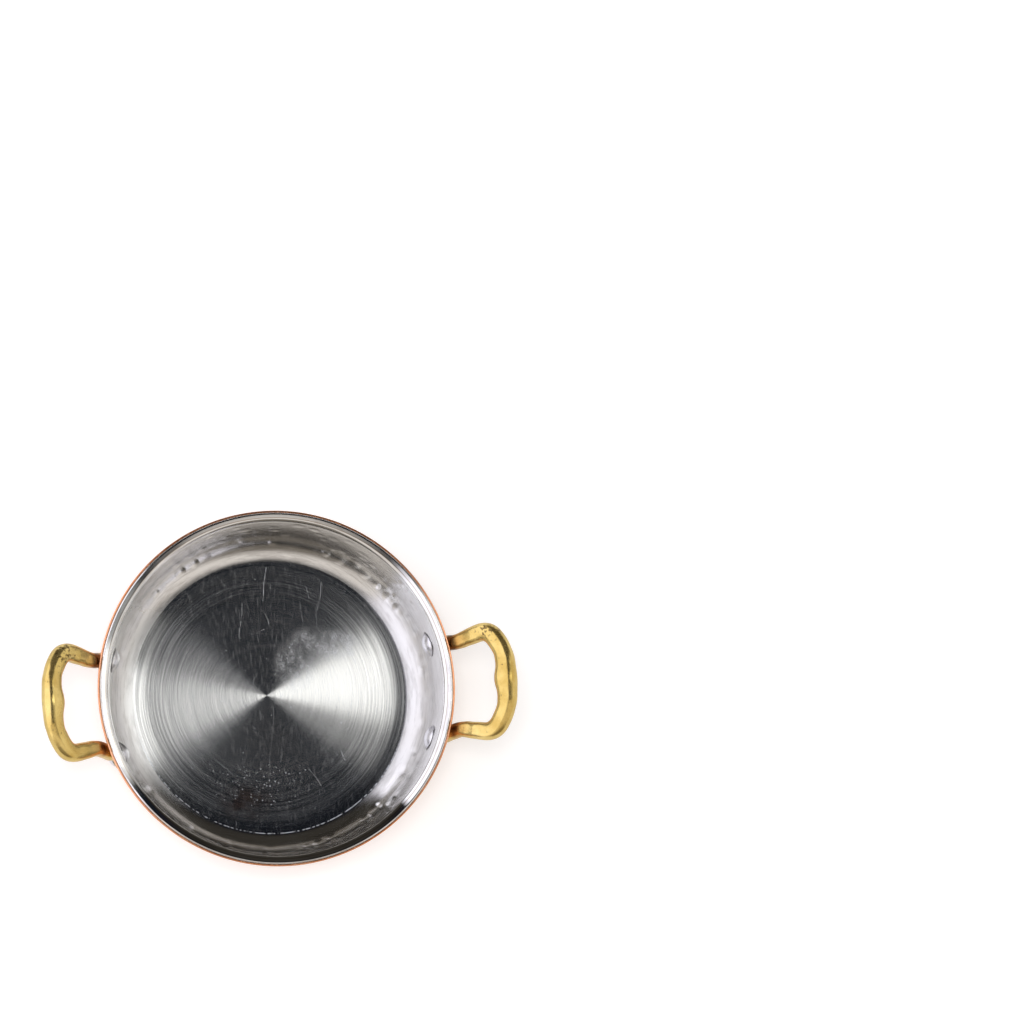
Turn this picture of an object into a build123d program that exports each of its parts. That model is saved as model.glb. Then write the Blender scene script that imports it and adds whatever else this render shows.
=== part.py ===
from build123d import *
from math import asin, cos, degrees, radians, sin, sqrt, tan
import os

os.makedirs("parts", exist_ok=True)

# Bowl: the rim is the widest circle, the height runs from the base to the crest of the lip
rim_diameter = 150.0
bowl_height = 35.0
lip_width = 3.4
lip_droop = 12.0
cove_radius = 0.8
corner_radius = 13.5
wall_taper = 5.0
copper_thickness = 0.6
steel_thickness = 0.8
lip_edge_round = 0.25

# Rivets: they stand square to the wall, so many millimetres above the corner of the base
rivet_rise = 6.2
rivet_spacing = 40.0
shank_diameter = 4.5
inner_head_diameter = 10.0
inner_head_height = 2.8
outer_head_diameter = 8.0
outer_head_height = 1.8
head_edge_height = 0.5
hole_clearance = 0.05

# Handles: the middle of the grip's bar stands this far beyond the rim and this far above it
grip_reach = 20.2
grip_rise = 15.4
handle_offset = -2.9
leg_bend_radius = 5.0
leg_root_spacing = 36.6
leg_lip_clearance = 0.4
corner_bend_radius = 8.0
corner_spacing = 43.6
corner_setback = 6.0
grip_bend_radius = 22.0
grip_bend_spacing = 21.0

# Cross-sections of the handle's bar: legs, corners, and the grip beside and at its swell
leg_width = 6.5
leg_thickness = 5.4
corner_width = 7.4
corner_thickness = 6.0
grip_width = 7.2
grip_thickness = 6.0
swell_width = 9.2
swell_thickness = 6.8
swell_length = 18.0
bar_edge_share = 0.42
bar_steps = 32

# Feet of the handles: oval pads, a little higher than their rivets
foot_width = 11.5
foot_length = 16.0
foot_thickness = 3.2
foot_edge_round = 1.4
foot_rise = 1.0
foot_overrun = 3.0

# Cutting shapes, longer or deeper than any cut needs: cylinders for bores, the bowl for the feet
cutter_reach = 12.0
trim_depth = 6.0

# Where the bowl's profile bends, on its outer skin
rim_radius = rim_diameter / 2
sheet_thickness = copper_thickness + steel_thickness
bend_angle = 90 - wall_taper
taper_sine = sin(radians(wall_taper))
taper_cosine = cos(radians(wall_taper))
neck_radius = rim_radius - lip_width
neck_height = bowl_height - sheet_thickness - cove_radius * (1 - taper_sine)
corner_top = corner_radius * (1 - taper_sine)
wall_rise = neck_height - corner_top
base_radius = neck_radius - wall_rise * tan(radians(wall_taper)) - corner_radius * taper_cosine
droop_sine = sin(radians(lip_droop))
droop_cosine = cos(radians(lip_droop))
hem_height = sheet_thickness - lip_edge_round
hem_reach = copper_thickness * droop_cosine + hem_height * droop_sine
flange_run = lip_width - hem_reach - cove_radius * (taper_cosine + droop_sine)


def skin_line(depth):
    """Half profile of the bowl from the axis to the drooping lip, one depth in from the outer skin."""
    with BuildLine(Plane.XZ) as line:
        floor = Line((0, depth), (base_radius, depth))
        corner = JernArc(floor @ 1, floor % 1, corner_radius - depth, bend_angle)
        wall_top = corner @ 1 + (corner % 1) * (wall_rise / taper_cosine)
        wall = Line(corner @ 1, wall_top)
        cove = JernArc(wall @ 1, wall % 1, cove_radius + depth, -bend_angle - lip_droop)
        Line(cove @ 1, cove @ 1 + (cove % 1) * (flange_run / droop_cosine))
    return line.line


def revolved_sheet(inner_depth, outer_depth):
    """Pressed sheet of the bowl between two depths, as one solid of revolution."""
    with BuildPart() as sheet:
        with BuildSketch(Plane.XZ):
            with BuildLine():
                outside = add(skin_line(outer_depth))
                inside = add(skin_line(inner_depth))
                outer_ends = outside.vertices().sort_by(Axis.X)
                inner_ends = inside.vertices().sort_by(Axis.X)
                Line(outer_ends[0], inner_ends[0])
                Line(outer_ends[-1], inner_ends[-1])
            make_face()
        revolve(axis=Axis.Z)
    return sheet.part


def wall_radius(height):
    """Radius of the outer skin on the straight part of the wall."""
    return neck_radius - (neck_height - height) * tan(radians(wall_taper))


rivet_height = corner_top + rivet_rise
rivet_ring_radius = wall_radius(rivet_height)
rivet_places = {"front": handle_offset - rivet_spacing / 2, "rear": handle_offset + rivet_spacing / 2}


def rivet_plane(place):
    """Plane on the outer skin at a rivet of the right-hand handle, facing out of the wall."""
    angle = degrees(asin(rivet_places[place] / rivet_ring_radius))
    upright = Plane.XZ.rotated((0, 0, angle))
    along, outward = upright.z_dir * -1, upright.x_dir
    normal = outward * taper_cosine - Vector(0, 0, taper_sine)
    return Plane(outward * rivet_ring_radius + Vector(0, 0, rivet_height), x_dir=along, z_dir=normal)


def mirrored(piece):
    """The same piece on the left-hand side of the bowl."""
    with BuildPart() as copy:
        mirror(piece, about=Plane.YZ)
    return copy.part


def rivet_holes(diameter):
    """Four bores through the bowl's wall, square to it."""
    with BuildPart() as bores:
        for place in rivet_places:
            with BuildSketch(rivet_plane(place)):
                Circle(diameter / 2)
            extrude(amount=cutter_reach, both=True)
    return bores.part + mirrored(bores.part)


hole_diameter = shank_diameter + 2 * hole_clearance
holes = rivet_holes(hole_diameter)

# Copper shell: the outer skin, with its edge turned up round the edge of the liner
with BuildPart() as copper_shell:
    add(revolved_sheet(copper_thickness, 0))
    lip_end = skin_line(0)
    with BuildSketch(Plane(lip_end @ 1, x_dir=lip_end % 1, z_dir=Plane.XZ.z_dir)):
        Rectangle(copper_thickness, hem_height, align=(Align.MIN, Align.MIN))
    revolve(axis=Axis.Z)
    add(holes, mode=Mode.SUBTRACT)
copper_shell.part.label = "copper_shell"
export_step(copper_shell.part, "parts/copper_shell.step")

# Steel liner: nested face to face in the shell, with its lip edge rounded over inside the hem
with BuildPart() as steel_liner:
    add(revolved_sheet(sheet_thickness, copper_thickness))
    fillet(steel_liner.edges().filter_by(GeomType.CIRCLE).sort_by(SortBy.RADIUS)[-1], lip_edge_round)
    add(holes, mode=Mode.SUBTRACT)
steel_liner.part.label = "steel_liner"
export_step(steel_liner.part, "parts/steel_liner.step")

# Right-hand handle: its bar runs from the rear foot up and out, along the grip, and back down
root_half = leg_root_spacing / 2
root_lip_x = sqrt(rim_radius**2 - (root_half - abs(handle_offset)) ** 2)
root_x = root_lip_x + leg_thickness / 2 + leg_lip_clearance
root_z = neck_height
grip_x = rim_radius + grip_reach
grip_z = bowl_height + grip_rise
corner_x = grip_x - corner_setback
corner_z = grip_z - corner_setback * (grip_z - root_z) / (grip_x - root_x)
foot_x = sqrt(rivet_ring_radius**2 - rivet_places["rear"] ** 2)
half_points = [
    (foot_x, rivet_spacing / 2, rivet_height),
    (root_x, root_half, root_z),
    (corner_x, corner_spacing / 2, corner_z),
    (grip_x, grip_bend_spacing / 2, grip_z),
]
rear_points = [Vector(x, handle_offset + y, z) for x, y, z in half_points]
front_points = [Vector(x, handle_offset - y, z) for x, y, z in half_points]
half_radii = [leg_bend_radius, corner_bend_radius, grip_bend_radius]
loop_normal = Vector(root_z - grip_z, 0, grip_x - root_x)

# Each cross-section stands so far along the bar from the middle of the grip
corner_reach = (rear_points[2] - rear_points[3]).length + grip_bend_spacing / 2
root_reach = corner_reach + (rear_points[1] - rear_points[2]).length
half_sections = [
    (0, swell_width, swell_thickness),
    (swell_length / 2, grip_width, grip_thickness),
    (corner_reach - corner_bend_radius / 2, corner_width, corner_thickness),
    (root_reach - corner_bend_radius, leg_width, leg_thickness),
]


def bar_size(reach):
    """Width and thickness of the bar, so far along it from the middle of the grip."""
    for (start, *first), (end, *last) in zip(half_sections, half_sections[1:]):
        if reach <= end:
            share = (reach - start) / (end - start)
            return [size + share * (next_size - size) for size, next_size in zip(first, last)]
    return leg_width, leg_thickness


# The feet: oval pads that lie on the wall round each rivet, their outer edges rounded
with BuildPart() as feet:
    for place in rivet_places:
        with BuildSketch(rivet_plane(place).offset(-foot_overrun)) as foot_outline:
            with Locations((0, foot_rise)):
                Ellipse(foot_width / 2, foot_length / 2)
        pad = extrude(amount=foot_overrun + foot_thickness)
        outward = Axis(rivet_plane(place).origin, rivet_plane(place).z_dir)
        fillet(pad.edges().sort_by(outward)[-1], foot_edge_round)

# The flats that the outer heads of the rivets are driven down on
with BuildPart() as spot_faces:
    for place in rivet_places:
        with BuildSketch(rivet_plane(place).offset(foot_thickness)):
            Circle(outer_head_diameter / 2 + hole_clearance)
        extrude(amount=cutter_reach)

with BuildPart() as right_handle:
    with BuildLine():
        all_points, all_radii = rear_points + front_points[::-1], half_radii + half_radii[::-1]
        bar = FilletPolyline(*all_points, radius=all_radii, mode=Mode.PRIVATE)
    for step in range(bar_steps + 1):
        share = step / bar_steps
        width, thickness = bar_size(abs(share - 1 / 2) * bar.length)
        with BuildSketch(Plane(bar @ share, x_dir=loop_normal.cross(bar % share), z_dir=bar % share)):
            RectangleRounded(width, thickness, bar_edge_share * thickness)
    loft()
    add(feet.part)
    add(spot_faces.part, mode=Mode.SUBTRACT)
    add(revolved_sheet(trim_depth, 0), mode=Mode.SUBTRACT)
    add(holes, mode=Mode.SUBTRACT)
right_handle.part.label = "right_handle"
export_step(right_handle.part, "parts/right_handle.step")

with BuildPart() as left_handle:
    mirror(right_handle.part, about=Plane.YZ)
left_handle.part.label = "left_handle"
export_step(left_handle.part, "parts/left_handle.step")


def dome(seat, base, diameter, height):
    """Rivet head: a low dome on a short edge, its base so far out from the skin of the wall."""
    section = Plane(seat.origin, x_dir=seat.x_dir, z_dir=seat.y_dir * -1)
    edge = head_edge_height if height > 0 else -head_edge_height
    with BuildPart() as head:
        with BuildSketch(section):
            with BuildLine():
                crown = TangentArc((0, base + height), (diameter / 2, base + edge), tangent=(1, 0))
                Polyline(crown @ 1, (diameter / 2, base), (0, base), crown @ 0)
            make_face()
        revolve(axis=Axis(seat.origin, seat.z_dir))
    return head.part


# Rivets: each inner head is dressed to the curve of the wall, each outer head sits on its spot face
wall_sheet = revolved_sheet(sheet_thickness, 0)
for place in rivet_places:
    seat = rivet_plane(place)
    with BuildPart() as rivet:
        add(dome(seat, -sheet_thickness, inner_head_diameter, -inner_head_height))
        add(wall_sheet, mode=Mode.SUBTRACT)
        add(dome(seat, foot_thickness, outer_head_diameter, outer_head_height))
        with BuildSketch(seat.offset(-sheet_thickness - head_edge_height)):
            Circle(shank_diameter / 2)
        extrude(amount=sheet_thickness + head_edge_height + foot_thickness)
    for side, piece in (("right", rivet.part), ("left", mirrored(rivet.part))):
        name = f"{side}_{place}_rivet"
        piece.label = name
        export_step(piece, f"parts/{name}.step")
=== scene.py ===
import math

import bpy
import numpy as np
from mathutils import Matrix, Vector


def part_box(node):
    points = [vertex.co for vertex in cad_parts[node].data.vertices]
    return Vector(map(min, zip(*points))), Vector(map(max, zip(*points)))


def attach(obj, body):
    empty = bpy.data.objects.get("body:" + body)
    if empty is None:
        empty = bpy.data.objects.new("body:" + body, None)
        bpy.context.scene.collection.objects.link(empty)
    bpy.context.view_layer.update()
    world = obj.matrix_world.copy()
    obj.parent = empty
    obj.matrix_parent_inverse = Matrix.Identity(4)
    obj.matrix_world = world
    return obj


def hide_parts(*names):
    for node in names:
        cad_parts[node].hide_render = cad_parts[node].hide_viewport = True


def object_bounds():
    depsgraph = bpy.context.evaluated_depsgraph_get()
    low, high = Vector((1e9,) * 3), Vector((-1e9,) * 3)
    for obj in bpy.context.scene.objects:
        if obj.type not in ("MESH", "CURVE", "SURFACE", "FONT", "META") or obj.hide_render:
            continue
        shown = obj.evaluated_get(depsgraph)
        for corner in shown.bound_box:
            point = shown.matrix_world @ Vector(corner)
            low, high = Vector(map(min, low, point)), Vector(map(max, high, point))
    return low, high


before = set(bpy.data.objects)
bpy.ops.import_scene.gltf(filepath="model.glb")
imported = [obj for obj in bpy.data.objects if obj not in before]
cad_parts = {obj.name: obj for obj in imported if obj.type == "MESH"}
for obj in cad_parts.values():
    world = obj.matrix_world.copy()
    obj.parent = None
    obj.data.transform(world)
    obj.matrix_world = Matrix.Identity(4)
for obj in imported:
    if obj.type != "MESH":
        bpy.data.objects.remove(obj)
cad_low, cad_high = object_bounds()

# Sizes in metres, taken from the CAD boxes or equal to the named sizes of the part
BOWL_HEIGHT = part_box("steel_liner")[1].z
RIM_RADIUS = 0.075
LIP_WIDTH = 0.0034
LIP_DROOP = math.radians(12)
COVE_RADIUS = 0.0008
CORNER_RADIUS = 0.0135
WALL_TAPER = math.radians(5)
COPPER_THICKNESS = 0.0006
STEEL_THICKNESS = 0.0008
LIP_EDGE_ROUND = 0.00025
SHEET_THICKNESS = COPPER_THICKNESS + STEEL_THICKNESS

# The bends of the bowl's profile on its outer skin
NECK_RADIUS = RIM_RADIUS - LIP_WIDTH
NECK_HEIGHT = BOWL_HEIGHT - SHEET_THICKNESS - COVE_RADIUS * (1 - math.sin(WALL_TAPER))
CORNER_TOP = CORNER_RADIUS * (1 - math.sin(WALL_TAPER))
WALL_RISE = NECK_HEIGHT - CORNER_TOP
BASE_RADIUS = NECK_RADIUS - WALL_RISE * math.tan(WALL_TAPER) - CORNER_RADIUS * math.cos(WALL_TAPER)
HEM_HEIGHT = SHEET_THICKNESS - LIP_EDGE_ROUND
HEM_REACH = COPPER_THICKNESS * math.cos(LIP_DROOP) + HEM_HEIGHT * math.sin(LIP_DROOP)
FLANGE_RUN = LIP_WIDTH - HEM_REACH - COVE_RADIUS * (math.cos(WALL_TAPER) + math.sin(LIP_DROOP))

# Steps along a profile: the liner's inner face, the skin's outside, and the faces that lie together
INNER_STEP = 0.0004
SKIN_STEP = 0.0008
HIDDEN_STEP = 0.0015

# Segments round the axis, and how fine and how smooth the softened castings and rivets are
LINER_SEGMENTS = 960
SKIN_SEGMENTS = 720
CASTING_VOXEL = 0.00035
CASTING_SMOOTHING = 12
RIVET_VOXEL = 0.00018
RIVET_SMOOTHING = 4

# The camera: pixels are those of the 1024 by 1024 photograph, the lens and its film are in millimetres
PICTURE = 1024
FOCAL_LENGTH = 200.0
SENSOR_WIDTH = 36.0
CLIP_END = 50
RIM_CENTRE_PIXEL = (277.2, 687.4)
PIXELS_PER_METRE = 2393.0
CAMERA_SWING = math.radians(38)
CAMERA_TILT = math.radians(8.6)
HANDLE_LINE_TURN = math.radians(2.9)

# Hammer marks inside the wall and the upper part of the corner: how far each row is below the neck, how far
# each row is turned from the last one and each mark strays along it, both as shares of the pitch, and how far
# it strays across. Radii and depths vary by a factor, and a depth below zero leaves no mark.
DIMPLE_ROWS = (0.0045, 0.0100, 0.0155, 0.0205, 0.0245, 0.0280)
DIMPLES_PER_ROW = 58
ROW_OFFSET = 0.37
STRAY_ALONG = 0.34
STRAY_ACROSS = 0.0008
DIMPLE_RADIUS = 0.0029
RADIUS_FACTORS = (0.75, 1.2)
DIMPLE_DEPTH = 0.00027
DEPTH_FACTORS = (-0.5, 1.35)

# The floor rises a little towards the corner from here on, by so much for each metre squared
DISH_START = 0.0520
DISH_RISE = 7.0

# The liner's lip as it was rolled: its top leans in towards the bowl and ends in a small bead, and the
# copper hem laps in over its edge
LIP_LEAN = math.radians(14)
LIP_BEAD = 0.0007
HEM_LAP = 0.0003
HEM_ROUND = 0.0004
HEM_INSIDE_ROUND = 0.00025

# The swell of each grip leans in towards the bowl by so much at its middle, and less along its length
HANDLE_MIDDLE = -0.0029
GRIP_START = 0.088
SWELL_REACH = 0.0075
SWELL_LEAN = 0.0008

# Outside the rim each handle is rounder than its plain section. It is smoothed in so many steps, which come
# in over a run from the start, filled out again, and kept under the top of the CAD box.
EASE_START = 0.0795
EASE_RUN = 0.0040
EASE_STEPS = 26
EASE_REFILL = 0.00042
EASE_LEVEL = 0.042
INSIDE_BOX = 0.00004

# Rivets: their rise above the corner, their places along each side, their inner heads and the painted contact
# shadow round these
RIVET_HEIGHT = CORNER_TOP + 0.0062
RIVET_SPACING = 0.040
RIVET_ROWS = (HANDLE_MIDDLE - RIVET_SPACING / 2, HANDLE_MIDDLE + RIVET_SPACING / 2)
RIVET_HEAD_RADIUS = 0.0050
RIVET_SHADOW_RADII = (RIVET_HEAD_RADIUS + 0.0001, RIVET_HEAD_RADIUS + 0.0007)

# The castings: pits gather within a reach of each rear corner, and the top of each leg carries a painted
# copper reflection and a painted shade near the rim, by its distance from the axis
PITTED_CORNER = (0.0895, 0.0185, 0.0480)
PITTED_REACH = (0.0035, 0.0095)
LEG_TOP = (0.0295, 0.0320)
COPPER_REFLECTION_RADII = (0.0775, 0.0825)
ROOT_SHADE_RADII = (0.0768, 0.0782)

# The polished wall: the heights where the lip begins, the crease between them, where a thin line of painted
# shade and painted warm reflection runs, and the places along Y where the satin beside the handles ends and
# where the brighter polish of the front begins
LIP_START = (0.0325, 0.0335)
CREASE_RADII = (0.07170, 0.07200)
SATIN_FADE = (0.030, 0.056)
FRONT_POLISH_FADE = (-0.050, -0.030)
LINE_BLUR = 0.0001

# The lathe marks: their centre, and the radii from it where the rings grow coarser, where a painted shade
# darkens the floor towards the corner and where it is burnished towards its edge. The painted shade fades
# along
# Y to the rear.
BRUSH_CENTRE = (-0.0015, 0.0008)
RING_DRIFT = 0.0006
COARSE_RADII = (0.034, 0.048)
CORNER_SHADE_RADII = (0.0520, 0.0565)
CORNER_SHADE_FADE = (0.012, 0.045)
BURNISHED_RADII = (0.0520, 0.0560)

# The floor is turned with a slight crown between these radii
CROWN_RADII = (0.004, 0.050)
CROWN_HEIGHT = 0.00064

# The lathe-brushed floor ends here, a little way up the corner
BRUSHED_RADIUS = 0.0586

# The broken painted highlight just inside that edge, on the front half only
KNUCKLE_HIGHLIGHT_RADII = (0.0578, 0.0582)
KNUCKLE_HIGHLIGHT_FADE = (-0.030, -0.016)

# Marks of use on the floor, and a painted brown reflection: smudges and that reflection as (place, size),
# scratches as (start, end, width, strength) and how far they wander, sets of finer ones as (turn, scale,
# limit), and cells of specks as (scale, size), thick in one patch
SMUDGES = [
    ((0.011, 0.013), (0.009, 0.011)),
    ((0.019, 0.021), (0.012, 0.008)),
    ((0.031, 0.021), (0.009, 0.007)),
]
BROWN_REFLECTION_PATCH = ((-0.013, -0.044), (0.011, 0.008))
SCRATCHES = [
    ((0.0015, 0.0555), (-0.0010, 0.0413), 0.00022, 0.85),
    ((-0.0095, 0.0412), (-0.0115, 0.0265), 0.00018, 0.55),
    ((0.0000, 0.0360), (0.0015, 0.0296), 0.00016, 0.55),
    ((0.0248, 0.0480), (0.0222, 0.0355), 0.00016, 0.60),
    ((0.0222, 0.0405), (0.0212, 0.0290), 0.00014, 0.45),
    ((0.0180, 0.0465), (0.0192, 0.0410), 0.00016, 0.50),
    ((0.0150, 0.0400), (0.0158, 0.0310), 0.00014, 0.45),
    ((0.0140, -0.0305), (0.0205, -0.0410), 0.00015, 0.50),
    ((0.0195, -0.0080), (0.0275, -0.0265), 0.00014, 0.35),
    ((0.0015, -0.0040), (-0.0030, -0.0345), 0.00014, 0.35),
    ((0.0285, -0.0240), (0.0305, -0.0285), 0.00020, 0.60),
    ((-0.0330, -0.0120), (-0.0295, -0.0205), 0.00018, 0.40),
    ((-0.0240, -0.0265), (-0.0175, -0.0320), 0.00014, 0.40),
]
SCRATCH_WANDER = 0.0005
SCRATCH_SETS = [
    (math.radians(6), 2600.0, 0.70),
    (math.radians(-18), 2900.0, 0.72),
    (math.radians(55), 2700.0, 0.73),
]
SPECK_CENTRE = (-0.006, -0.037)
SPECK_SIZE = (0.0247, 0.01045)
SPECK_CELLS = ((850.0, 0.25), (1500.0, 0.30))

# Colours of the metals and their marks, and of the painted shade, highlight and reflections on them
FLOOR_STEEL = ((0.78, 0.78, 0.77, 1), (0.92, 0.92, 0.90, 1))
COARSE_STEEL = ((0.40, 0.40, 0.40, 1), (0.95, 0.95, 0.93, 1))
CORNER_SHADE_COLOR = (0.16, 0.16, 0.17, 1)
BROWN_REFLECTION_COLOR = (0.40, 0.24, 0.17, 1)
MARK_AND_HIGHLIGHT_COLOR = (0.74, 0.78, 0.84, 1)
WALL_STEEL = ((0.73, 0.72, 0.71, 1), (0.82, 0.82, 0.82, 1))
WALL_LINE_COLOR = (0.40, 0.39, 0.38, 1)
CREASE_SHADE_COLOR = (0.36, 0.27, 0.20, 1)
RIVET_SHADOW_COLOR = (0.10, 0.095, 0.09, 1)
COPPER = ((0.78, 0.34, 0.17, 1), (0.92, 0.50, 0.30, 1))
BRASS = ((0.62, 0.43, 0.12, 1), (0.84, 0.64, 0.24, 1))
COPPER_REFLECTION_COLOR = (0.46, 0.21, 0.045, 1)
ROOT_SHADE_COLOR = (0.09, 0.045, 0.012, 1)
PIT_COLOR = (0.22, 0.15, 0.05, 1)
RIVET_GREY = ((0.74, 0.74, 0.77, 1), (0.90, 0.90, 0.94, 1))

# The studio, by direction. MIRROR_POINT is what a level floor shows to a camera at the photograph's place.
# Each screen has two ends along X and two slants (Y over X) with their blurs, all measured from that point.
# The warm front, the dim floor line under it and the rear begin and end at places along Y.
MIRROR_POINT = (
    math.sin(CAMERA_TILT) * math.sin(CAMERA_SWING),
    math.sin(CAMERA_TILT) * math.cos(CAMERA_SWING),
)
RIGHT_BOX_REACH = (0.015, 0.020, 0.60, 0.08)
RIGHT_BOX_SLANT = (-0.30, 0.10, 0.50, 0.12)
RIGHT_BOX_EDGE_SLANT = (-0.82, 0.10, -0.30, 0.10)
RIGHT_WALL_REACH = (0.60, 0.08, 2.0, 0.1)
RIGHT_WALL_SLANT = (-0.90, 0.20, 0.60, 0.15)
LEFT_SCREEN_REACH = (0.25, 0.05, 2.0, 0.1)
LEFT_SCREEN_SLANT = (-0.84, 0.15, 1.0, 0.05)
LEAST_SIDEWAYS = 0.001
FRONT_FADE = (-0.36, -0.22)
FRONT_LOW_FADE = (-0.84, -0.68)
REAR_FADE = (0.36, 0.56)
RIGHT_BOX_COLOR = (2.10, 2.10, 2.06, 1)
RIGHT_BOX_EDGE_COLOR = (0.36, 0.36, 0.355, 1)
RIGHT_WALL_COLOR = (0.92, 0.89, 0.84, 1)
LEFT_SCREEN_COLOR = (1.48, 1.45, 1.56, 1)
FRONT_COLOR = (0.86, 0.80, 0.74, 1)
FRONT_LOW_COLOR = (0.19, 0.165, 0.135, 1)
REAR_COLOR = (0.040, 0.036, 0.030, 1)
CEILING_COLOR = (0.008, 0.011, 0.017)

# The floor of the studio, and the lamp in watts
STUDIO_REACH = 6.0
STUDIO_DROP = 0.0001
STUDIO_GREY = 0.62
FLOOR_SHADE = 0.72
FLOOR_GLOW_TO_CAMERA = 0.50
FLOOR_GLOW_TO_METAL = 0.36
LAMP_PLACE = (-0.19, 0.0, 1.8)
LAMP_TARGET = (0, 0, 0.02)
LAMP_SIZE = 0.45
LAMP_POWER = 7.0

rng = np.random.default_rng(11)


def polar(centre, radius, angle):
    """The point at an angle on a circle."""
    return (centre[0] + radius * math.cos(angle), centre[1] + radius * math.sin(angle))


def bowl_wall(depth, step, shortened=0.0):
    """Points (radius, height) from the axis to the neck, one depth in from the outer skin."""
    corner_centre = (BASE_RADIUS, CORNER_RADIUS)
    corner = CORNER_RADIUS - depth
    bend = math.pi / 2 - WALL_TAPER
    rings = max(2, int(BASE_RADIUS / step))
    points = [(r, depth) for r in np.linspace(0, BASE_RADIUS, rings, endpoint=False)]
    turns = np.linspace(0, bend, max(6, int(corner * bend / step)))
    points += [polar(corner_centre, corner, a - math.pi / 2) for a in turns]
    start = points[-1]
    run = WALL_RISE / math.cos(WALL_TAPER) - shortened
    lengths = np.linspace(0, run, max(4, int(run / step)))[1:]
    points += [(start[0] + t * math.sin(WALL_TAPER), start[1] + t * math.cos(WALL_TAPER)) for t in lengths]
    return points


def bowl_profile(depth, step):
    """The same points and those of the drooping lip."""
    points = bowl_wall(depth, step)
    bend = math.pi / 2 - WALL_TAPER
    top = points[-1]
    cove = COVE_RADIUS + depth
    cove_centre = (top[0] + cove * math.cos(WALL_TAPER), top[1] - cove * math.sin(WALL_TAPER))
    turns = np.linspace(0, bend + LIP_DROOP, max(12, int(3 * cove * bend / step)))[1:]
    points += [polar(cove_centre, cove, math.pi - WALL_TAPER - a) for a in turns]
    lengths = np.linspace(0, FLANGE_RUN, 6)[1:]
    last = points[-1]
    points += [(last[0] + t, last[1] - t * math.tan(LIP_DROOP)) for t in lengths]
    return points


def liner_face(edge_radius, step):
    """The liner's inner face: floor, wall, cove, a lip that leans in, and its bead, out to one radius."""
    rise, lean, cove = math.pi / 2 - WALL_TAPER, LIP_LEAN, COVE_RADIUS + SHEET_THICKNESS
    neck = bowl_wall(SHEET_THICKNESS, step)[-1]
    curved_run = cove * (math.sin(rise) - math.sin(lean)) + LIP_BEAD * (1 + math.sin(lean))
    curved_rise = cove * (math.cos(lean) - math.cos(rise)) + LIP_BEAD * (1 - math.cos(lean))
    excess = neck[1] + curved_rise + math.tan(lean) * (edge_radius - neck[0] - curved_run) - BOWL_HEIGHT
    shortened = excess / (math.cos(WALL_TAPER) - math.tan(lean) * math.sin(WALL_TAPER))
    points = bowl_wall(SHEET_THICKNESS, step, shortened)
    top = points[-1]
    centre = (top[0] + cove * math.sin(rise), top[1] - cove * math.cos(rise))
    points += [polar(centre, cove, math.pi / 2 + a) for a in np.linspace(rise, lean, 15)[1:]]
    start = points[-1]
    run = edge_radius - start[0] - LIP_BEAD * (1 + math.sin(lean))
    points += [(start[0] + t, start[1] + t * math.tan(lean)) for t in np.linspace(0, run, 6)[1:]]
    centre = (edge_radius - LIP_BEAD, points[-1][1] - LIP_BEAD * math.cos(lean))
    points += [polar(centre, LIP_BEAD, a) for a in np.linspace(math.pi / 2 + lean, 0, 12)[1:]]
    return points


def on_lip(start, along, up):
    """A point of the profile, so far along the drooping lip and up from it."""
    sine, cosine = math.sin(LIP_DROOP), math.cos(LIP_DROOP)
    return (start[0] + along * cosine + up * sine, start[1] - along * sine + up * cosine)


def spun(name, profile, segments, shift=None):
    """A mesh of revolution about Z. shift gives how far each (angle, ring) point moves along the normal."""
    rings = np.array(profile)
    tangents = np.gradient(rings, axis=0)
    normals = np.stack([-tangents[:, 1], tangents[:, 0]], axis=1)
    normals /= np.maximum(np.linalg.norm(normals, axis=1), 1e-12)[:, None]
    angles = np.linspace(0, 2 * math.pi, segments, endpoint=False)
    moved = np.zeros((len(rings), segments)) if shift is None else shift(rings, angles)
    radius = rings[:, 0][:, None] + moved * normals[:, 0][:, None]
    height = rings[:, 1][:, None] + moved * normals[:, 1][:, None]
    x = radius * np.cos(angles)
    y = radius * np.sin(angles)
    first = 1 if profile[0][0] == 0 else 0
    last = len(rings) - 1 if profile[-1][0] == 0 else len(rings)
    verts = [(0, 0, rings[0, 1])] if first else []
    grid = np.stack([x, y, height], axis=2)[first:last].reshape(-1, 3)
    verts += [tuple(v) for v in grid]
    faces = []
    count = last - first

    def vertex(ring, seg):
        return first + ring * segments + seg % segments

    for seg in range(segments):
        if first:
            faces.append((0, vertex(0, seg), vertex(0, seg + 1)))
        for ring in range(count - 1):
            after = vertex(ring + 1, seg + 1)
            faces.append((vertex(ring, seg), vertex(ring + 1, seg), after, vertex(ring, seg + 1)))
    if last < len(rings):
        verts.append((0, 0, rings[-1, 1]))
        for seg in range(segments):
            faces.append((vertex(count - 1, seg), len(verts) - 1, vertex(count - 1, seg + 1)))
    mesh = bpy.data.meshes.new(name)
    mesh.from_pydata(verts, [], faces)
    mesh.shade_smooth()
    obj = bpy.data.objects.new(name, mesh)
    bpy.context.scene.collection.objects.link(obj)
    return obj


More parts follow.
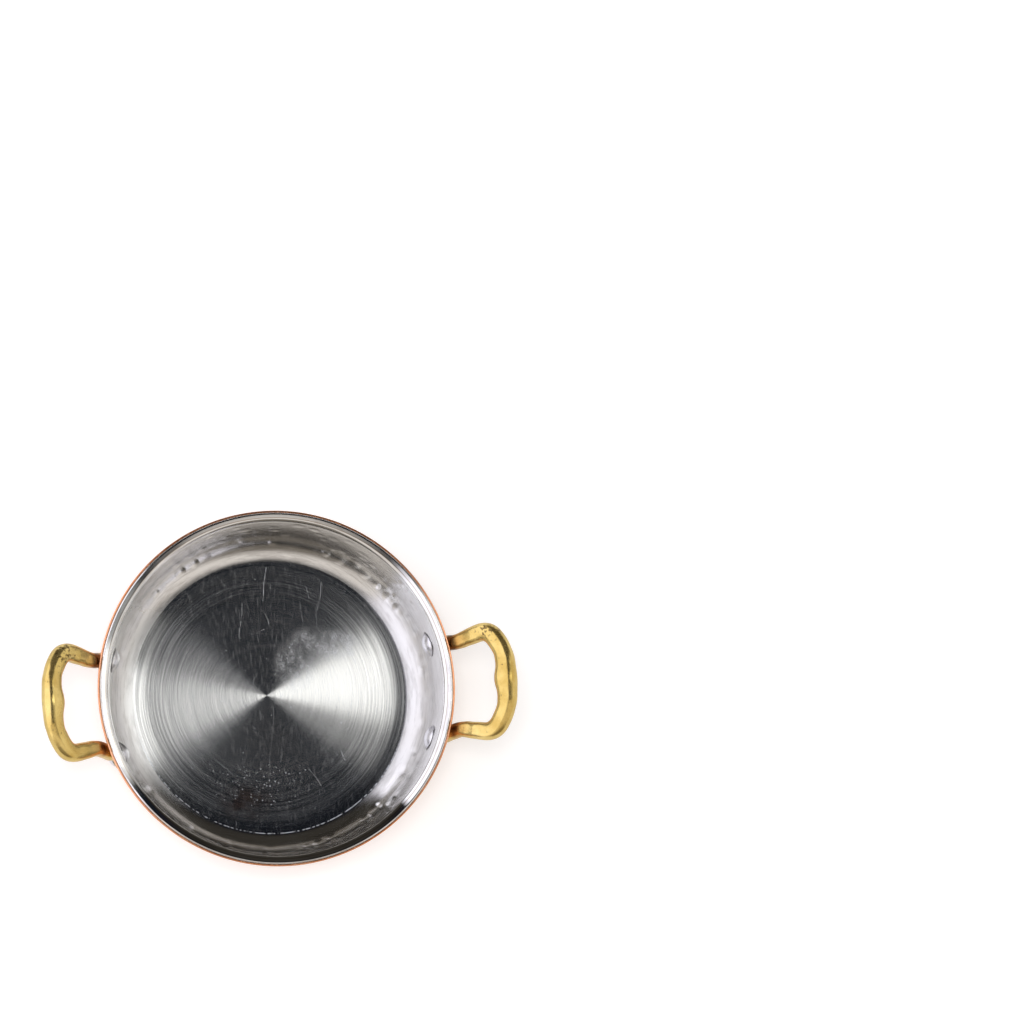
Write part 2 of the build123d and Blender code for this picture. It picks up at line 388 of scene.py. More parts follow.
def hammer_marks(rings, angles, inner_count):
    """How far the liner's inner face is raised or pressed in at every point: dished floor, hammered wall."""
    inner = np.arange(len(rings)) < inner_count
    steps = np.linalg.norm(np.diff(rings, axis=0), axis=1)
    run = np.concatenate([[0], np.cumsum(steps)])
    corner_run = (CORNER_RADIUS - SHEET_THICKNESS) * (math.pi / 2 - WALL_TAPER)
    below_neck = BASE_RADIUS + corner_run + WALL_RISE / math.cos(WALL_TAPER) - run
    press = np.zeros((len(rings), len(angles)))
    pitch = 2 * math.pi / DIMPLES_PER_ROW
    for row, start in enumerate(DIMPLE_ROWS):
        turn = row * ROW_OFFSET * pitch
        for mark in range(DIMPLES_PER_ROW):
            at = turn + (mark + rng.uniform(-STRAY_ALONG, STRAY_ALONG)) * pitch
            down = start + rng.uniform(-STRAY_ACROSS, STRAY_ACROSS)
            size = DIMPLE_RADIUS * rng.uniform(*RADIUS_FACTORS)
            depth = DIMPLE_DEPTH * max(0.0, rng.uniform(*DEPTH_FACTORS))
            across = (angles - at + math.pi) % (2 * math.pi) - math.pi
            seg = np.where(np.abs(across) < 1.5 * pitch)[0]
            ring = np.where((np.abs(below_neck - down) < size) & inner)[0]
            arc = across[seg][None, :] * rings[ring, 0][:, None]
            gap = (arc / size) ** 2 + ((below_neck[ring] - down)[:, None] / size) ** 2
            cap = depth * np.clip(1 - gap, 0, 1) ** 1.5
            block = press[np.ix_(ring, seg)]
            press[np.ix_(ring, seg)] = np.maximum(block, cap)
    flat = (rings[:, 0] < BASE_RADIUS) & inner
    dish = np.clip(rings[:, 0] - DISH_START, 0, BASE_RADIUS - DISH_START) ** 2 * DISH_RISE
    fade = np.clip(1 - (run - BASE_RADIUS) / corner_run, 0, 1)
    lift = np.where(flat, dish, (BASE_RADIUS - DISH_START) ** 2 * DISH_RISE * fade)
    lift[~inner] = 0
    return lift[:, None] - press


def node_tree(name):
    """A new material with its tree and its shader."""
    material = bpy.data.materials.new(name)
    material.use_nodes = True
    tree = material.node_tree
    shader = tree.nodes["Principled BSDF"]
    return material, tree, shader


def link(tree, source, target):
    tree.links.new(source, target)


def math_node(tree, operation, a, b=None):
    node = tree.nodes.new("ShaderNodeMath")
    node.operation = operation
    for socket, value in zip(node.inputs, (a, b)):
        if value is None:
            continue
        if isinstance(value, (int, float)):
            socket.default_value = value
        else:
            link(tree, value, socket)
    return node.outputs[0]


def vector_node(tree, operation, a, b=None):
    node = tree.nodes.new("ShaderNodeVectorMath")
    node.operation = operation
    for socket, value in zip(node.inputs, (a, b)):
        if value is None:
            continue
        if isinstance(value, tuple):
            socket.default_value = value
        else:
            link(tree, value, socket)
    return node.outputs["Value" if operation in ("LENGTH", "DOT_PRODUCT") else "Vector"]


def noise(tree, vector, scale, detail=3.0, roughness=0.55):
    node = tree.nodes.new("ShaderNodeTexNoise")
    node.inputs["Scale"].default_value = scale
    node.inputs["Detail"].default_value = detail
    node.inputs["Roughness"].default_value = roughness
    link(tree, vector, node.inputs["Vector"])
    return node.outputs["Fac"]


def ranged(tree, value, low, high, out_low, out_high):
    node = tree.nodes.new("ShaderNodeMapRange")
    node.inputs["From Min"].default_value = low
    node.inputs["From Max"].default_value = high
    node.inputs["To Min"].default_value = out_low
    node.inputs["To Max"].default_value = out_high
    link(tree, value, node.inputs["Value"])
    return node.outputs["Result"]


def window(tree, value, low, low_blur, high, high_blur):
    """1 between two limits of a value and 0 outside them, with its own blur at each end."""
    rising = ranged(tree, value, low - low_blur, low + low_blur, 0.0, 1.0)
    falling = ranged(tree, value, high - high_blur, high + high_blur, 1.0, 0.0)
    return math_node(tree, "MULTIPLY", rising, falling)


def blended(tree, factor, first, second):
    node = tree.nodes.new("ShaderNodeMix")
    node.data_type = "RGBA"
    link(tree, factor, node.inputs["Factor"])
    for socket, value in ((node.inputs["A"], first), (node.inputs["B"], second)):
        if isinstance(value, tuple):
            socket.default_value = value
        else:
            link(tree, value, socket)
    return node.outputs["Result"]


def bump(tree, height, strength, distance, under=None):
    node = tree.nodes.new("ShaderNodeBump")
    node.inputs["Strength"].default_value = strength
    node.inputs["Distance"].default_value = distance
    link(tree, height, node.inputs["Height"])
    if under is not None:
        link(tree, under, node.inputs["Normal"])
    return node.outputs["Normal"]


def object_point(tree):
    return tree.nodes.new("ShaderNodeTexCoord").outputs["Object"]


def parted(tree, vector):
    """The X, Y and Z of a vector."""
    node = tree.nodes.new("ShaderNodeSeparateXYZ")
    link(tree, vector, node.inputs["Vector"])
    return node.outputs["X"], node.outputs["Y"], node.outputs["Z"]


def flattened(tree, point):
    return vector_node(tree, "MULTIPLY", point, (1.0, 1.0, 0.0))


def gap_to(tree, point, place):
    return vector_node(tree, "LENGTH", vector_node(tree, "SUBTRACT", point, place))


def mirrored_point(tree, point):
    """The point, or its mirror image on the right-hand side of the part."""
    x, y, z = parted(tree, point)
    node = tree.nodes.new("ShaderNodeCombineXYZ")
    link(tree, math_node(tree, "ABSOLUTE", x), node.inputs["X"])
    link(tree, y, node.inputs["Y"])
    link(tree, z, node.inputs["Z"])
    return node.outputs["Vector"]


def most(tree, values):
    """The greatest of several values."""
    total = values[0]
    for value in values[1:]:
        total = math_node(tree, "MAXIMUM", total, value)
    return total


def mixed(tree, first, second, share):
    """So much of the second value and the rest of the first."""
    kept = math_node(tree, "MULTIPLY", first, 1 - share)
    return math_node(tree, "ADD", kept, math_node(tree, "MULTIPLY", second, share))


def brushed_steel():
    """Floor of the liner: lathe marks in rings, which draw the light out into two bright fans."""
    material, tree, shader = node_tree("steel_brushed_floor")
    point = object_point(tree)
    flat_point = flattened(tree, point)
    flat = vector_node(tree, "SUBTRACT", flat_point, (*BRUSH_CENTRE, 0.0))
    outward = vector_node(tree, "NORMALIZE", flat)
    radius = vector_node(tree, "LENGTH", flat)
    ring_point = tree.nodes.new("ShaderNodeCombineXYZ")
    link(tree, radius, ring_point.inputs["X"])
    drift = vector_node(tree, "MULTIPLY", outward, (RING_DRIFT, RING_DRIFT, 0.0))
    ring_vector = vector_node(tree, "ADD", ring_point.outputs["Vector"], drift)
    fine = noise(tree, ring_vector, 3000.0, 1.0, 0.7)
    middle = noise(tree, ring_vector, 1250.0, 2.0, 0.7)
    broad = noise(tree, ring_vector, 260.0, 2.0, 0.5)
    lines = mixed(tree, fine, middle, 0.55)
    turned = mixed(tree, lines, broad, 0.25)
    patches = noise(tree, point, 45.0, 4.0, 0.6)
    outer_zone = ranged(tree, radius, *COARSE_RADII, 0.0, 1.0)
    worn = ranged(tree, patches, 0.35, 0.65, 0.45, 0.85)

    steel = blended(tree, ranged(tree, turned, 0.38, 0.62, 0.0, 1.0), *FLOOR_STEEL)
    rings = blended(tree, ranged(tree, lines, 0.40, 0.58, 0.0, 1.0), *COARSE_STEEL)
    turned_color = blended(tree, math_node(tree, "MULTIPLY", outer_zone, worn), steel, rings)
    # Painted shade: the floor darkens towards the corner, less so towards the rear
    to_rear = ranged(tree, parted(tree, flat_point)[1], *CORNER_SHADE_FADE, 1.0, 0.3)
    edge = math_node(tree, "MULTIPLY", ranged(tree, radius, *CORNER_SHADE_RADII, 0.0, 0.44), to_rear)
    shaded = blended(tree, edge, turned_color, CORNER_SHADE_COLOR)
    # Painted reflection: a faint brown patch near the front of the floor
    with_brown_reflection = blended(tree, brown_reflection_mask(tree, flat_point), shaded, BROWN_REFLECTION_COLOR)

    # Smudges, scratches and specks, and the painted highlight at the knuckle, all in one pale colour
    marks_and_highlight = most(tree, [
        math_node(tree, "MULTIPLY", smudge_mask(tree, point, flat_point), 0.62),
        scratch_mask(tree, point, flat_point),
        speck_mask(tree, flat_point),
        knuckle_highlight_mask(tree, point, flat_point),
    ])
    link(tree, blended(tree, marks_and_highlight, with_brown_reflection, MARK_AND_HIGHLIGHT_COLOR), shader.inputs["Base Color"])
    link(tree, ranged(tree, marks_and_highlight, 0.0, 1.0, 1.0, 0.25), shader.inputs["Metallic"])
    grain = ranged(tree, turned, 0.3, 0.7, 0.120, 0.165)
    burnish = ranged(tree, radius, *BURNISHED_RADII, 0.0, 0.03)
    link(tree, math_node(tree, "SUBTRACT", grain, burnish), shader.inputs["Roughness"])
    shader.inputs["Anisotropic"].default_value = 1.0
    link(tree, outward, shader.inputs["Tangent"])
    crown = bump(tree, ranged(tree, radius, *CROWN_RADII, CROWN_HEIGHT, 0.0), 1.0, 1.0)
    link(tree, bump(tree, turned, 0.12, 0.00004, crown), shader.inputs["Normal"])
    return material


def oval(tree, flat_point, place, size, inner, outer):
    """1 inside an oval on the floor, falling to 0 between two shares of its size."""
    away = vector_node(tree, "SUBTRACT", flat_point, (*place, 0.0))
    scaled = vector_node(tree, "MULTIPLY", away, (1 / size[0], 1 / size[1], 0.0))
    return ranged(tree, vector_node(tree, "LENGTH", scaled), inner, outer, 1.0, 0.0)


def smudge_mask(tree, point, flat_point):
    """Dull finger smudges right of the middle of the floor."""
    wipes = noise(tree, vector_node(tree, "MULTIPLY", point, (1.6, 1.0, 1.0)), 210.0, 6.0, 0.75)
    grain = noise(tree, point, 1500.0, 2.0, 0.6)
    spots = [oval(tree, flat_point, place, size, 0.5, 1.15) for place, size in SMUDGES]
    wiped = ranged(tree, wipes, 0.40, 0.62, 0.15, 1.0)
    streaky = math_node(tree, "MULTIPLY", wiped, ranged(tree, grain, 0.3, 0.7, 0.55, 1.0))
    return math_node(tree, "MULTIPLY", most(tree, spots), streaky)


def brown_reflection_mask(tree, flat_point):
    """One faint painted brown reflection near the front of the floor."""
    clouds = noise(tree, flat_point, 160.0, 3.0, 0.6)
    spot = oval(tree, flat_point, *BROWN_REFLECTION_PATCH, 0.2, 1.2)
    return math_node(tree, "MULTIPLY", spot, ranged(tree, clouds, 0.4, 0.6, 0.3, 0.9))


def scratch_line(tree, bent_point, start, end, width, strength):
    """A thin mark from one place on the floor to another."""
    length = math.dist(start, end)
    ahead = ((end[0] - start[0]) / length, (end[1] - start[1]) / length, 0.0)
    away = vector_node(tree, "SUBTRACT", bent_point, (*start, 0.0))
    along = ranged(tree, vector_node(tree, "DOT_PRODUCT", away, ahead), 0.0, length, 0.0, length)
    scale = tree.nodes.new("ShaderNodeVectorMath")
    scale.operation = "SCALE"
    scale.inputs[0].default_value = ahead
    link(tree, along, scale.inputs["Scale"])
    gap = vector_node(tree, "LENGTH", vector_node(tree, "SUBTRACT", away, scale.outputs["Vector"]))
    return ranged(tree, gap, width * 0.2, width * 0.8, strength, 0.0)


def scratch_mask(tree, point, flat_point):
    """Light scratches that cross the lathe marks, most of them running front to rear."""
    wander = noise(tree, flat_point, 130.0, 1.0, 0.5)
    sideways = tree.nodes.new("ShaderNodeCombineXYZ")
    link(tree, ranged(tree, wander, 0.2, 0.8, -SCRATCH_WANDER, SCRATCH_WANDER), sideways.inputs["X"])
    bent_point = vector_node(tree, "ADD", flat_point, sideways.outputs["Vector"])
    lines = [scratch_line(tree, bent_point, *scratch) for scratch in SCRATCHES]
    for turn, scale, limit in SCRATCH_SETS:
        mapping = tree.nodes.new("ShaderNodeMapping")
        mapping.inputs["Rotation"].default_value = (0, 0, turn)
        mapping.inputs["Scale"].default_value = (scale, scale / 14, 1)
        link(tree, bent_point, mapping.inputs["Vector"])
        streaks = noise(tree, mapping.outputs["Vector"], 1.0, 0.0, 0.5)
        lines.append(ranged(tree, streaks, limit, limit + 0.05, 0.0, 0.22))
    broken = ranged(tree, noise(tree, point, 520.0, 2.0, 0.6), 0.35, 0.55, 0.35, 1.0)
    return math_node(tree, "MULTIPLY", most(tree, lines), broken)


def speck_mask(tree, flat_point):
    """Bright specks: sparse all over the floor, thick in one patch near the front."""
    near = oval(tree, flat_point, SPECK_CENTRE, SPECK_SIZE, 0.1, 1.0)
    limit = ranged(tree, near, 0.0, 1.0, 0.988, 0.74)
    spots = []
    for scale, size in SPECK_CELLS:
        cells = tree.nodes.new("ShaderNodeTexVoronoi")
        cells.inputs["Scale"].default_value = scale
        link(tree, flat_point, cells.inputs["Vector"])
        pick = parted(tree, cells.outputs["Color"])[0]
        chosen = ranged(tree, math_node(tree, "SUBTRACT", pick, limit), 0.0, 0.01, 0.0, 1.0)
        dot = ranged(tree, cells.outputs["Distance"], size * 0.5, size, 0.9, 0.0)
        spots.append(math_node(tree, "MULTIPLY", chosen, dot))
    return most(tree, spots)


def knuckle_highlight_mask(tree, point, flat_point):
    """Broken painted highlight on the front half of the ring where the floor turns up into the wall."""
    radius = vector_node(tree, "LENGTH", flat_point)
    rise = window(tree, radius, KNUCKLE_HIGHLIGHT_RADII[0], LINE_BLUR, KNUCKLE_HIGHLIGHT_RADII[1], LINE_BLUR)
    front = ranged(tree, parted(tree, flat_point)[1], *KNUCKLE_HIGHLIGHT_FADE, 0.9, 0.0)
    dots = ranged(tree, noise(tree, point, 700.0, 1.0, 0.5), 0.42, 0.56, 0.0, 1.0)
    return math_node(tree, "MULTIPLY", math_node(tree, "MULTIPLY", rise, front), dots)


def polished_steel():
    """Wall and lip of the liner: bright steel, polished round and round, with a painted shade line at the
    crease and a painted contact shadow round each rivet.
    """
    material, tree, shader = node_tree("steel_hammered_wall")
    point = object_point(tree)
    _, y, z = parted(tree, point)
    lines = noise(tree, vector_node(tree, "MULTIPLY", point, (0.25, 0.25, 4.0)), 300.0, 4.0, 0.65)
    clouds = noise(tree, point, 60.0, 4.0, 0.6)
    color = blended(tree, ranged(tree, clouds, 0.3, 0.7, 0.0, 1.0), *WALL_STEEL)
    lined = blended(tree, ranged(tree, lines, 0.48, 0.66, 0.0, 0.45), color, WALL_LINE_COLOR)
    axis_gap = vector_node(tree, "LENGTH", flattened(tree, point))
    # Painted shade and painted warm reflection: a thin dark brown line round the crease
    crease = window(tree, axis_gap, CREASE_RADII[0], LINE_BLUR, CREASE_RADII[1], LINE_BLUR)
    creased = blended(tree, math_node(tree, "MULTIPLY", crease, 0.7), lined, CREASE_SHADE_COLOR)
    face_radius = NECK_RADIUS - (NECK_HEIGHT - RIVET_HEIGHT) * math.tan(WALL_TAPER) - SHEET_THICKNESS
    mirrored = mirrored_point(tree, point)
    # Painted contact shadow: a dark ring on the wall round each inner rivet head
    rivet_shadows = []
    for row in RIVET_ROWS:
        gap = gap_to(tree, mirrored, (math.sqrt(face_radius**2 - row**2), row, RIVET_HEIGHT))
        rivet_shadows.append(ranged(tree, gap, *RIVET_SHADOW_RADII, 0.85, 0.0))
    link(tree, blended(tree, most(tree, rivet_shadows), creased, RIVET_SHADOW_COLOR), shader.inputs["Base Color"])

    on_wall = ranged(tree, z, *LIP_START, 1.0, 0.0)
    satin = ranged(tree, math_node(tree, "ABSOLUTE", y), *SATIN_FADE, 0.20, 0.05)
    on_satin = math_node(tree, "MULTIPLY", satin, on_wall)
    rough = math_node(tree, "ADD", ranged(tree, clouds, 0.3, 0.7, 0.10, 0.15), on_satin)
    front_polish = ranged(tree, y, *FRONT_POLISH_FADE, -0.07, 0.0)
    link(tree, math_node(tree, "ADD", rough, front_polish), shader.inputs["Roughness"])
    shader.inputs["Metallic"].default_value = 1.0
    shader.inputs["Anisotropic"].default_value = 0.85
    upright = tree.nodes.new("ShaderNodeCombineXYZ")
    upright.inputs["Z"].default_value = 1.0
    link(tree, upright.outputs["Vector"], shader.inputs["Tangent"])
    link(tree, bump(tree, lines, 0.08, 0.00005), shader.inputs["Normal"])
    return material


def copper():
    """Outer skin: polished copper with light hand-rubbing and slight heat colour."""
    material, tree, shader = node_tree("copper_polished")
    point = object_point(tree)
    clouds = noise(tree, point, 32.0, 5.0, 0.6)
    rubs = noise(tree, vector_node(tree, "MULTIPLY", point, (1.0, 1.0, 8.0)), 170.0, 4.0, 0.7)
    color = blended(tree, ranged(tree, clouds, 0.3, 0.72, 0.0, 1.0), *COPPER)
    link(tree, color, shader.inputs["Base Color"])
    rough = math_node(
        tree, "ADD", ranged(tree, rubs, 0.3, 0.7, 0.16, 0.28), ranged(tree, clouds, 0.3, 0.7, 0.0, 0.06)
    )
    link(tree, rough, shader.inputs["Roughness"])
    shader.inputs["Metallic"].default_value = 1.0
    link(tree, bump(tree, rubs, 0.12, 0.00006), shader.inputs["Normal"])
    return material


def cast_brass():
    """Handles: hand-polished castings, pitted at the rear corners, with a painted copper reflection and
    painted shade where a leg meets the rim.
    """
    material, tree, shader = node_tree("brass_cast")
    point = object_point(tree)
    axis_gap = vector_node(tree, "LENGTH", flattened(tree, point))
    clouds = noise(tree, point, 80.0, 4.0, 0.6)
    skin = blended(tree, ranged(tree, clouds, 0.35, 0.68, 0.0, 1.0), *BRASS)
    # Painted reflection of the copper and painted shade on the bend at the top of each leg, near the rim
    above = ranged(tree, parted(tree, point)[2], *LEG_TOP, 0.0, 1.0)
    brown = math_node(tree, "MULTIPLY", above, ranged(tree, axis_gap, *COPPER_REFLECTION_RADII, 0.75, 0.0))
    dark = math_node(tree, "MULTIPLY", above, ranged(tree, axis_gap, *ROOT_SHADE_RADII, 0.85, 0.0))
    with_root_reflection_and_shade = blended(tree, dark, blended(tree, brown, skin, COPPER_REFLECTION_COLOR), ROOT_SHADE_COLOR)

    corner_gap = gap_to(tree, mirrored_point(tree, point), PITTED_CORNER)
    at_corner = ranged(tree, corner_gap, *PITTED_REACH, 0.17, 0.0)
    pits = noise(tree, point, 650.0, 2.0, 0.6)
    pitted_zone = ranged(tree, noise(tree, point, 70.0, 2.0, 0.5), 0.56, 0.66, 0.0, 0.05)
    depth = math_node(tree, "SUBTRACT", pits, math_node(tree, "MAXIMUM", pitted_zone, at_corner))
    pit_mask = ranged(tree, depth, 0.25, 0.31, 0.0, 1.0)
    link(tree, blended(tree, pit_mask, PIT_COLOR, with_root_reflection_and_shade), shader.inputs["Base Color"])
    in_pits = ranged(tree, pit_mask, 0.0, 1.0, 0.10, 0.0)
    rough = math_node(tree, "ADD", ranged(tree, clouds, 0.3, 0.7, 0.25, 0.18), in_pits)
    link(tree, rough, shader.inputs["Roughness"])
    shader.inputs["Metallic"].default_value = 0.88
    waves = bump(tree, noise(tree, point, 110.0, 2.0, 0.5), 0.12, 0.0004)
    link(tree, bump(tree, pit_mask, 0.35, 0.0001, waves), shader.inputs["Normal"])
    return material


def rivet_metal():
    """Rivets: pale grey metal with a satin skin, flattened a little by the hammer."""
    material, tree, shader = node_tree("rivet_satin")
    point = object_point(tree)
    clouds = noise(tree, point, 420.0, 4.0, 0.6)
    color = blended(tree, ranged(tree, clouds, 0.3, 0.7, 0.0, 1.0), *RIVET_GREY)
    link(tree, color, shader.inputs["Base Color"])
    link(tree, ranged(tree, clouds, 0.3, 0.7, 0.28, 0.38), shader.inputs["Roughness"])
    shader.inputs["Metallic"].default_value = 1.0
    link(tree, bump(tree, clouds, 0.12, 0.0002), shader.inputs["Normal"])
    return material


def smoothing(piece, steps):
    smooth = piece.modifiers.new("smooth", "SMOOTH")
    smooth.factor = 0.5
    smooth.iterations = steps
    return smooth


def settle(piece):
    """Put what the modifiers make of a piece in place of its mesh."""
    depsgraph = bpy.context.evaluated_depsgraph_get()
    mesh = bpy.data.meshes.new_from_object(piece.evaluated_get(depsgraph))
    piece.modifiers.clear()
    piece.vertex_groups.clear()
    piece.data = mesh
    mesh.name = piece.name
    mesh.shade_smooth()


def softened_copy(node, name, voxel, steps):
    """A finer mesh of a CAD node, its creases run together as in a casting."""
    piece = bpy.data.objects.new(name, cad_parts[node].data.copy())
    bpy.context.scene.collection.objects.link(piece)
    piece.data.materials.clear()
    remesh = piece.modifiers.new("remesh", "REMESH")
    remesh.mode = "VOXEL"
    remesh.voxel_size = voxel
    smoothing(piece, steps)
    settle(piece)
    return piece


def ease_grip(casting):
    """Run the edges of a handle together outside the rim, keep its thickness, and lean its swell inwards."""
    outside = casting.vertex_groups.new(name="outside_rim")
    shares = []
    for vertex in casting.data.vertices:
        radius = math.hypot(vertex.co.x, vertex.co.y)
        shares.append(min(1.0, max(0.0, (radius - EASE_START) / EASE_RUN)))
        outside.add([vertex.index], shares[-1], "REPLACE")
    smoothing(casting, EASE_STEPS).vertex_group = outside.name
    settle(casting)
    vertices = casting.data.vertices
    normals = [vertex.normal.copy() for vertex in vertices]
    for vertex, share, normal in zip(vertices, shares, normals):
        vertex.co += normal * share * EASE_REFILL
        if abs(vertex.co.x) > GRIP_START:
            lean_in = math.exp(-(((vertex.co.y - HANDLE_MIDDLE) / SWELL_REACH) ** 2)) * SWELL_LEAN
            vertex.co.x -= math.copysign(lean_in, vertex.co.x)
    top = max(vertex.co.z for vertex in vertices)
    room = min(1.0, (cad_high.z - INSIDE_BOX - EASE_LEVEL) / (top - EASE_LEVEL))
    for vertex in vertices:
        if vertex.co.z > EASE_LEVEL:
            vertex.co.z = EASE_LEVEL + (vertex.co.z - EASE_LEVEL) * room


def dress(piece, material, slot, *nodes):
    """Give a piece its material, and say which nodes it replaces on the one body. slot is not used."""
    piece.data.materials.append(material)
    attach(piece, "root")
    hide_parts(*nodes)


def add_liner():
    """Floor, hammered wall and rolled lip of the steel liner in one closed mesh."""
    outer_points = bowl_profile(COPPER_THICKNESS, HIDDEN_STEP)
    edge = on_lip(outer_points[-1], -HEM_LAP, 0)
    inner_points = liner_face(edge[0], INNER_STEP)
    side = [(edge[0], height) for height in np.linspace(inner_points[-1][1], edge[1], 4)[1:]]

    def shift(rings, angles):
        return hammer_marks(rings, angles, len(inner_points))

    steel = spun("steel_bowl", inner_points + side + outer_points[-2::-1], LINER_SEGMENTS, shift)
    dress(steel, brushed_steel(), "steel", "steel_liner")
    steel.data.materials.append(polished_steel())
    for face in steel.data.polygons:
        centre = face.center
        on_floor = math.hypot(centre.x, centre.y) < BRUSHED_RADIUS and centre.z > SHEET_THICKNESS * 0.9
        face.material_index = 0 if on_floor else 1


def add_skin():
    """The copper skin, its edge turned up round the liner's."""
    outside = bowl_profile(0.0, SKIN_STEP)
    inside = bowl_profile(COPPER_THICKNESS, HIDDEN_STEP)
    edge = outside[-1]
    ease = COPPER_THICKNESS / 4
    hem = [on_lip(edge, COPPER_THICKNESS - ease, 0), on_lip(edge, COPPER_THICKNESS, ease)]
    outer_centre = (COPPER_THICKNESS - HEM_ROUND, HEM_HEIGHT - HEM_ROUND)
    for turn in np.linspace(0, math.pi / 2, 7):
        hem.append(on_lip(edge, *polar(outer_centre, HEM_ROUND, turn)))
    inner_centre = (HEM_INSIDE_ROUND - HEM_LAP, HEM_HEIGHT - HEM_INSIDE_ROUND)
    for turn in np.linspace(math.pi / 2, math.pi, 5):
        hem.append(on_lip(edge, *polar(inner_centre, HEM_INSIDE_ROUND, turn)))
    hem.append(on_lip(edge, -HEM_LAP, COPPER_THICKNESS))
    shell = spun("copper_skin", outside + hem + inside[-2::-1], SKIN_SEGMENTS)
    dress(shell, copper(), "copper", "copper_shell")


def add_handles():
    """The two brass castings."""
    brass = cast_brass()
    for side in ("left", "right"):
        node = f"{side}_handle"
        casting = softened_copy(node, f"{side}_brass_handle", CASTING_VOXEL, CASTING_SMOOTHING)
        ease_grip(casting)
        dress(casting, brass, "cast_brass", node)


def add_rivets():
    """The four rivets."""
    metal = rivet_metal()
    for side in ("left", "right"):
        for place in ("front", "rear"):
            node = f"{side}_{place}_rivet"
            heads = softened_copy(node, f"{node}_domes", RIVET_VOXEL, RIVET_SMOOTHING)
            dress(heads, metal, "rivet_metal", node)


def studio_floor():
    """Pale floor: near white to the camera with a faint shadow, and dimmer in the metal's reflections."""
    material, tree, shader = node_tree("studio_floor")
    shader.inputs["Base Color"].default_value = (STUDIO_GREY, STUDIO_GREY, STUDIO_GREY, 1)
    shader.inputs["Roughness"].default_value = 0.9
    shader.inputs["Specular IOR Level"].default_value = 0.0
    path = tree.nodes.new("ShaderNodeLightPath")
    shadowed = tree.nodes.new("ShaderNodeBsdfDiffuse")
    shadowed.inputs["Color"].default_value = (FLOOR_SHADE, FLOOR_SHADE, FLOOR_SHADE, 1)
    faint = tree.nodes.new("ShaderNodeMixShader")
    link(tree, path.outputs["Is Camera Ray"], faint.inputs["Fac"])
    link(tree, shader.outputs["BSDF"], faint.inputs[1])
    link(tree, shadowed.outputs["BSDF"], faint.inputs[2])
    glow = tree.nodes.new("ShaderNodeEmission")
    glow.inputs["Color"].default_value = (1, 1, 1, 1)
    to_camera = math_node(tree, "MULTIPLY", path.outputs["Is Camera Ray"], FLOOR_GLOW_TO_CAMERA)
    to_metal = math_node(tree, "MULTIPLY", path.outputs["Is Glossy Ray"], FLOOR_GLOW_TO_METAL)
    link(tree, math_node(tree, "ADD", to_camera, to_metal), glow.inputs["Strength"])
    total = tree.nodes.new("ShaderNodeAddShader")
    link(tree, faint.outputs["Shader"], total.inputs[0])
    link(tree, glow.outputs["Emission"], total.inputs[1])
    link(tree, total.outputs["Shader"], tree.nodes["Material Output"].inputs["Surface"])
    return material


def add_floor():
    half = STUDIO_REACH
    corners = [(-half, -half, 0), (half, -half, 0), (half, half, 0), (-half, half, 0)]
    mesh = bpy.data.meshes.new("floor")
    mesh.from_pydata(corners, [], [(0, 1, 2, 3)])
    floor = bpy.data.objects.new("floor", mesh)
    bpy.context.scene.collection.objects.link(floor)
    mesh.materials.append(studio_floor())
    floor.location.z = -STUDIO_DROP


def add_lamp():
    """One soft lamp overhead, which the bare metal doesn't mirror."""
    lamp = bpy.data.lights.new("overhead_softbox", "AREA")
    lamp.shape = "RECTANGLE"
    lamp.size = lamp.size_y = LAMP_SIZE
    lamp.energy = LAMP_POWER
    overhead = bpy.data.objects.new("overhead_softbox", lamp)
    overhead.location = LAMP_PLACE
    overhead.rotation_mode = "QUATERNION"
    aim = Vector(LAMP_TARGET) - Vector(LAMP_PLACE)
    overhead.rotation_quaternion = aim.to_track_quat("-Z", "Y")
    overhead.visible_glossy = False
    bpy.context.scene.collection.objects.link(overhead)


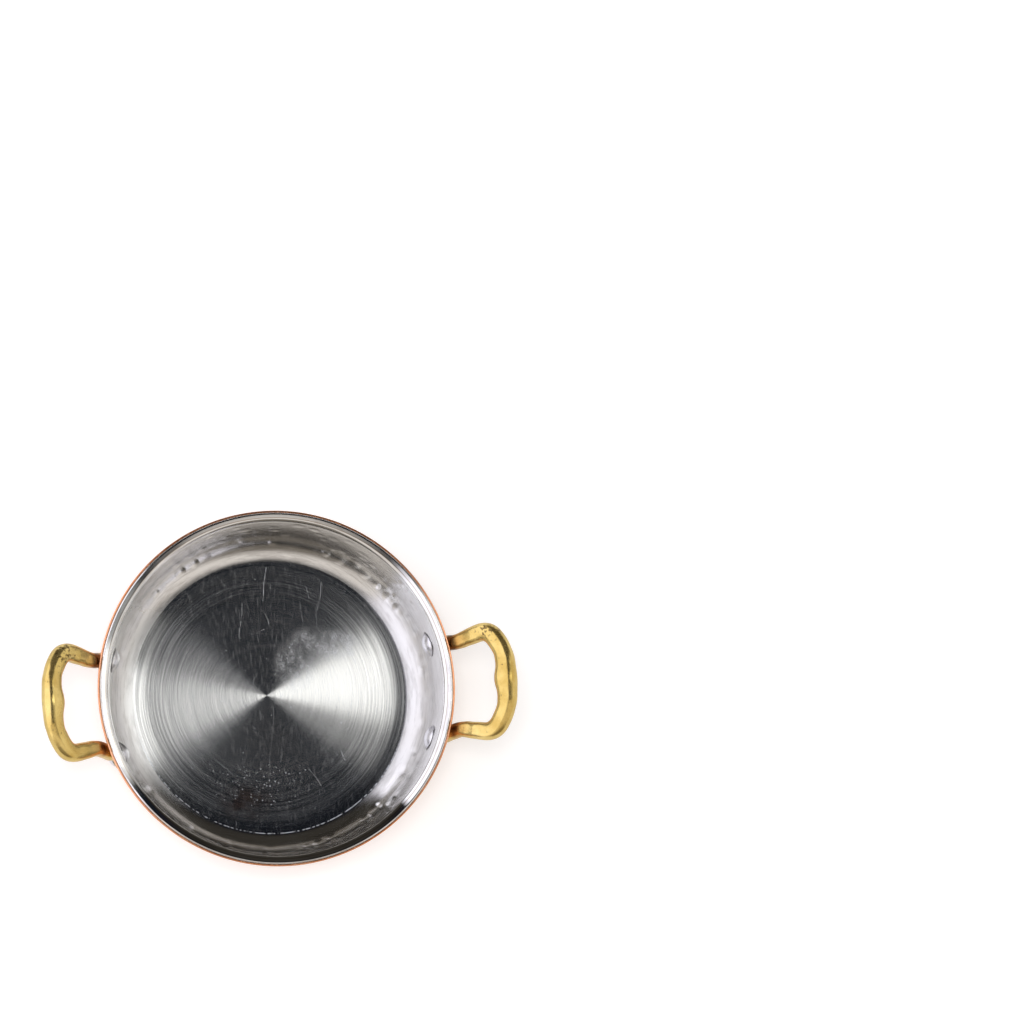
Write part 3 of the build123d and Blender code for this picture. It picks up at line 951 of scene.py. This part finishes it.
def studio_world():
    """Dark ceiling, a softbox and a grey wall to the right, a white screen left, warm front, dim rear."""
    world = bpy.data.worlds.new("studio")
    bpy.context.scene.world = world
    world.use_nodes = True
    tree = world.node_tree
    x, y, _ = parted(tree, tree.nodes.new("ShaderNodeTexCoord").outputs["Generated"])
    right = math_node(tree, "SUBTRACT", x, MIRROR_POINT[0])
    left = math_node(tree, "MULTIPLY", right, -1.0)
    sideways = math_node(tree, "MAXIMUM", math_node(tree, "ABSOLUTE", right), LEAST_SIDEWAYS)
    slant = math_node(tree, "DIVIDE", math_node(tree, "SUBTRACT", y, MIRROR_POINT[1]), sideways)

    def screen(reach, reach_limits, slant_limits):
        along = window(tree, reach, *reach_limits)
        return math_node(tree, "MULTIPLY", along, window(tree, slant, *slant_limits))

    front_color = blended(tree, ranged(tree, y, *FRONT_LOW_FADE, 0.0, 1.0), FRONT_LOW_COLOR, FRONT_COLOR)
    color = CEILING_COLOR
    for amount, shade in (
        (screen(right, RIGHT_BOX_REACH, RIGHT_BOX_SLANT), RIGHT_BOX_COLOR),
        (screen(right, RIGHT_BOX_REACH, RIGHT_BOX_EDGE_SLANT), RIGHT_BOX_EDGE_COLOR),
        (screen(right, RIGHT_WALL_REACH, RIGHT_WALL_SLANT), RIGHT_WALL_COLOR),
        (screen(left, LEFT_SCREEN_REACH, LEFT_SCREEN_SLANT), LEFT_SCREEN_COLOR),
        (ranged(tree, y, *FRONT_FADE, 1.0, 0.0), front_color),
        (ranged(tree, y, *REAR_FADE, 0.0, 1.0), REAR_COLOR),
    ):
        lit = blended(tree, amount, (0, 0, 0, 1), shade)
        color = vector_node(tree, "MAXIMUM", lit, color)
    background = tree.nodes["Background"]
    link(tree, color, background.inputs["Color"])
    background.inputs["Strength"].default_value = 1.0


def add_camera():
    """A long lens over the pan, swung to the front left, with the pan's rim at its place in the picture."""
    focal_pixels = FOCAL_LENGTH / SENSOR_WIDTH * PICTURE
    rim_centre = Vector((0, 0, BOWL_HEIGHT))
    away = Vector((
        -math.sin(CAMERA_TILT) * math.sin(CAMERA_SWING),
        -math.sin(CAMERA_TILT) * math.cos(CAMERA_SWING),
        math.cos(CAMERA_TILT),
    ))
    across = Vector((math.cos(-HANDLE_LINE_TURN), math.sin(-HANDLE_LINE_TURN), 0))
    right = (across - across.dot(away) * away).normalized()
    up = away.cross(right)
    facing = Matrix((right, up, away)).transposed()
    half = PICTURE / 2
    ray = Vector((RIM_CENTRE_PIXEL[0] - half, half - RIM_CENTRE_PIXEL[1], -focal_pixels))
    turn = Vector((0, 0, -1)).rotation_difference(ray.normalized()).to_matrix()
    camera = bpy.data.cameras.new("camera")
    camera.lens = FOCAL_LENGTH
    camera.sensor_width = SENSOR_WIDTH
    camera.clip_end = CLIP_END
    obj = bpy.data.objects.new("camera", camera)
    obj.rotation_mode = "QUATERNION"
    obj.rotation_quaternion = (facing @ turn.inverted()).to_quaternion()
    obj.location = rim_centre + away * ray.length / PIXELS_PER_METRE
    bpy.context.scene.collection.objects.link(obj)
    bpy.context.scene.camera = obj


add_liner()
add_skin()
add_handles()
add_rivets()
add_floor()
add_lamp()
studio_world()
add_camera()
bpy.context.scene.view_settings.view_transform = "Standard"
